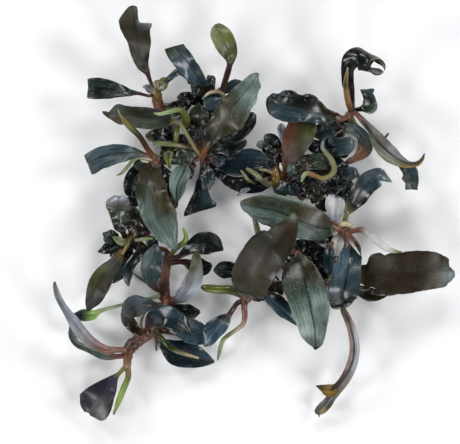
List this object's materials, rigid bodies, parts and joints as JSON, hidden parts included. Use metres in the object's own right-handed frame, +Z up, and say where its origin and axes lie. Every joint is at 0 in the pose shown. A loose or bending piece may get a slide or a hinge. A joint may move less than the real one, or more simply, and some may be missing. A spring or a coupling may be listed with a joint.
{
  "type": "bucephalandra",
  "caption": "Clump of a small creeping aquarium plant: tangled rhizomes with wavy lance-shaped leaves, rolled young leaves and roots.",
  "frame": {"origin": "middle of the clump's footprint, on the surface it rests on", "axes": "+Z up, +Y towards the picture's upper edge, +X towards its right edge"},
  "size_m": [0.1203, 0.1232, 0.0248],
  "materials": {
    "leaf_dark": "glossy, blue black to dark green",
    "leaf_olive": "semi-gloss, olive brown",
    "leaf_silver": "semi-gloss, grey green with fine silver dots",
    "leaf_mauve": "satin, mauve grey underside",
    "leaf_young": "satin, pale yellow green",
    "stem": "satin, red brown"
  },
  "bodies": {
    "root": {"leaf_central_1": "leaf_dark", "leaf_central_2": "leaf_silver", "leaf_central_3": "leaf_mauve", "leaf_central_4": "leaf_dark", "leaf_central_5": "leaf_olive", "leaf_central_6": "leaf_dark", "leaf_east_1": "leaf_dark", "leaf_east_2": "leaf_silver", "leaf_east_3": "leaf_olive", "leaf_east_4": "leaf_dark", "leaf_east_5": "leaf_mauve", "leaf_farwest_1": "leaf_olive", "leaf_farwest_2": "leaf_dark", "leaf_farwest_3": "leaf_dark", "leaf_inner_1": "leaf_olive", "leaf_inner_2": "leaf_dark", "leaf_inner_3": "leaf_olive", "leaf_inner_4": "leaf_silver", "leaf_inner_5": "leaf_dark", "leaf_inner_6": "leaf_dark", "leaf_middle_1": "leaf_olive", "leaf_north_1": "leaf_dark", "leaf_north_2": "leaf_young", "leaf_north_3": "leaf_silver", "leaf_northeast_1": "leaf_dark", "leaf_northeast_2": "leaf_dark", "leaf_northeast_3": "leaf_dark", "leaf_northeast_4": "leaf_mauve", "leaf_northeast_5": "leaf_silver", "leaf_northeast_6": "leaf_silver", "leaf_northwest_1": "leaf_olive", "leaf_northwest_2": "leaf_dark", "leaf_south_1": "leaf_olive", "leaf_south_2": "leaf_dark", "leaf_south_3": "leaf_dark", "leaf_south_4": "leaf_silver", "leaf_southwest_1": "leaf_dark", "leaf_southwest_2": "leaf_mauve", "leaf_southwest_3": "leaf_silver", "leaf_southwest_4": "leaf_mauve", "leaf_southwest_5": "leaf_dark", "leaf_southwest_6": "leaf_dark", "leaf_west_1": "leaf_silver", "leaf_west_2": "leaf_silver", "rhizome_central": "stem", "rhizome_east": "stem", "rhizome_farwest": "stem", "rhizome_inner": "stem", "rhizome_middle": "stem", "rhizome_north": "stem", "rhizome_northeast": "stem", "rhizome_northwest": "stem", "rhizome_south": "stem", "rhizome_southwest": "stem", "rhizome_west": "stem", "spear_east": "leaf_young", "spear_inner": "leaf_young", "spear_northeast": "stem", "spear_southwest": "leaf_young", "spear_west": "leaf_young"}
  },
  "joints": []
}
